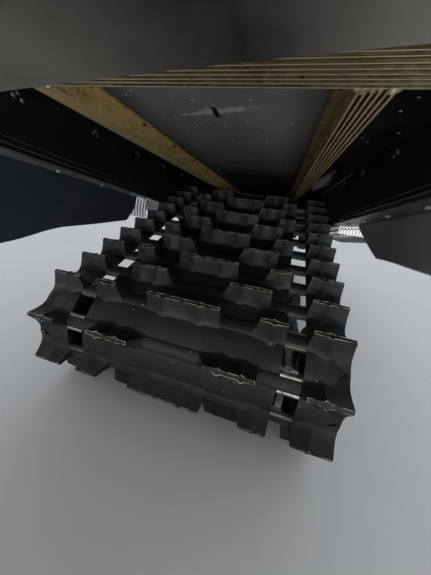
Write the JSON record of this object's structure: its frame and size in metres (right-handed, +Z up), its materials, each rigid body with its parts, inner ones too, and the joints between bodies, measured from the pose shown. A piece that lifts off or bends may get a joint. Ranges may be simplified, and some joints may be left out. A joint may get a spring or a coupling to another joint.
{
  "type": "snowmobile track and tunnel assembly",
  "caption": "Rear chassis of a utility snowmobile: lugged rubber track on its slide rail suspension inside a finned, cooled tunnel with running boards, flaps and bumper.",
  "frame": {"origin": "on the ground under the middle of the bounding box", "axes": "+Y forward along the machine, +X to its right, +Z up"},
  "size_m": [0.86, 2.4072, 0.5528],
  "materials": {
    "track_rubber": "satin",
    "tunnel_paint": "semi-gloss",
    "cooler_metal": "weathered satin",
    "strip_metal": "satin",
    "board_metal": "satin",
    "flap_plastic": "satin",
    "snow_flap_rubber": "matte",
    "black_steel": "gloss",
    "rail_metal": "satin",
    "slider_plastic": "matte",
    "wheel_rubber": "matte",
    "bright_steel": "brushed",
    "arm_paint": "satin",
    "shock_metal": "satin",
    "spring_paint": "gloss",
    "sprocket_plastic": "satin"
  },
  "bodies": {
    "root": {"track": "track_rubber", "tunnel": "tunnel_paint", "rear_cooler": "cooler_metal", "side_cooler_left": "cooler_metal", "side_cooler_right": "cooler_metal", "front_cooler": "cooler_metal", "edge_strip_left": "strip_metal", "edge_strip_right": "strip_metal", "side_flap_left": "flap_plastic", "side_flap_right": "flap_plastic", "running_board_left": "board_metal", "running_board_right": "board_metal", "snow_flap": "snow_flap_rubber", "rear_bumper": "black_steel", "tow_hitch": "black_steel", "bulkhead_plate": "black_steel", "rail_left": "rail_metal", "rail_right": "rail_metal", "slider_left": "slider_plastic", "slider_right": "slider_plastic", "rear_idlers": "wheel_rubber", "bogie_wheels_left": "wheel_rubber", "bogie_wheels_right": "wheel_rubber", "carrier_wheels": "wheel_rubber", "rear_axle": "bright_steel", "bogie_axles": "bright_steel", "arm_shafts": "bright_steel", "arm_brackets_left": "strip_metal", "arm_brackets_right": "strip_metal", "front_arm": "arm_paint", "rear_arm": "arm_paint", "front_shock": "shock_metal", "rear_shock": "shock_metal", "front_spring": "spring_paint", "rear_spring": "spring_paint", "drive_axle": "bright_steel", "drive_sprockets": "sprocket_plastic", "axle_bearing_left": "bright_steel", "axle_bearing_right": "bright_steel"}
  },
  "joints": []
}
